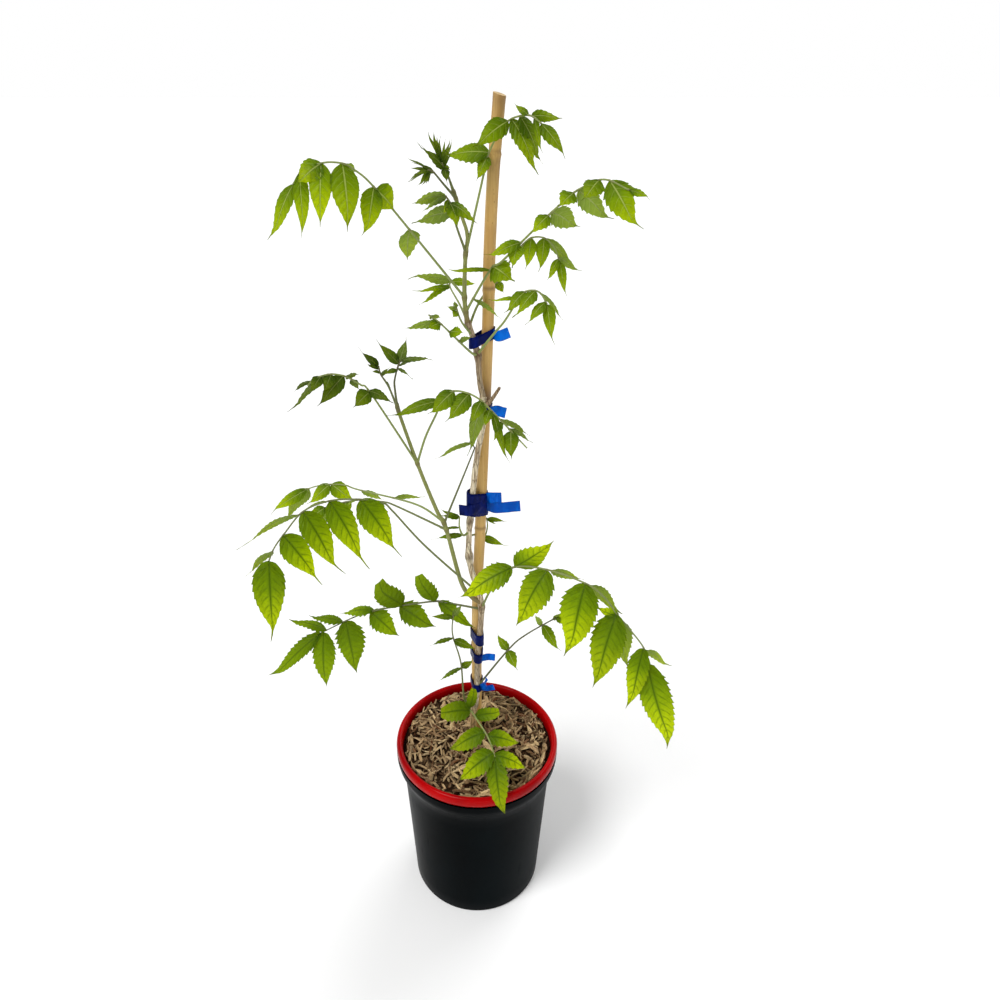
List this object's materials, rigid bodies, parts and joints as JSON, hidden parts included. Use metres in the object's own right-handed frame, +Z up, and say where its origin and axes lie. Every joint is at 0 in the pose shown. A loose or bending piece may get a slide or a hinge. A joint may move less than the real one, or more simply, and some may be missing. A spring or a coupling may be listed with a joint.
{
  "type": "potted chinese trumpet vine",
  "caption": "Young trumpet vine with toothed pinnate leaves, taped to a bamboo stake, growing through bark mulch in a black nursery pot with a red inner pot.",
  "frame": {"origin": "middle of the pot's flat underside, on the surface it stands on", "axes": "+Z up along the pot's axis and the stake; +Y away from the viewer of the picture; +X to the viewer's right"},
  "size_m": [0.4745, 0.2169, 0.9494],
  "materials": {
    "pot_black": "satin moulded plastic",
    "pot_red": "glossy moulded plastic",
    "potting_mix": "crumbly dark compost",
    "bark_mulch": "dry shredded bark",
    "bamboo": "smooth satin cane",
    "vine_bark": "flaky matte bark",
    "green_stem": "smooth satin green bark",
    "leaf": "satin, slightly translucent",
    "leaf_young": "satin, folded young leaves",
    "tie_tape": "glossy translucent stretch tape"
  },
  "bodies": {
    "root": {"pot_black": "pot_black", "pot_red": "pot_red", "potting_mix": "potting_mix", "bark_mulch": "bark_mulch", "stake": "bamboo", "trunk": "vine_bark", "side_shoot": "green_stem", "upper_shoot": "green_stem", "leaf_upper_left": "leaf", "leaf_top_right": "leaf", "leaf_top_hanging": "leaf", "leaf_upper_right": "leaf", "leaf_behind_stake": "leaf", "leaf_right_of_tie": "leaf", "leaf_left_of_tie": "leaf", "leaf_upper_back": "leaf", "bud_upper": "leaf", "leaf_middle_left": "leaf", "shoot_tip_right": "leaf_young", "shoot_tip_left": "leaf_young", "leaf_over_stake": "leaf", "leaf_single": "leaf", "leaf_back_left": "leaf", "leaf_back_small": "leaf", "leaf_front_left": "leaf", "leaf_lower_left": "leaf", "leaf_front_right": "leaf", "leaf_over_rim": "leaf", "basal_shoot_left": "leaf", "basal_shoot_right": "leaf", "top_tip": "leaf_young", "top_side_tip": "leaf_young", "sprout_left": "leaf", "sprout_right": "leaf", "tie_1": "tie_tape", "tie_2": "tie_tape", "tie_3": "tie_tape", "tie_4": "tie_tape", "tie_5": "tie_tape", "tie_6": "tie_tape"}
  },
  "joints": []
}
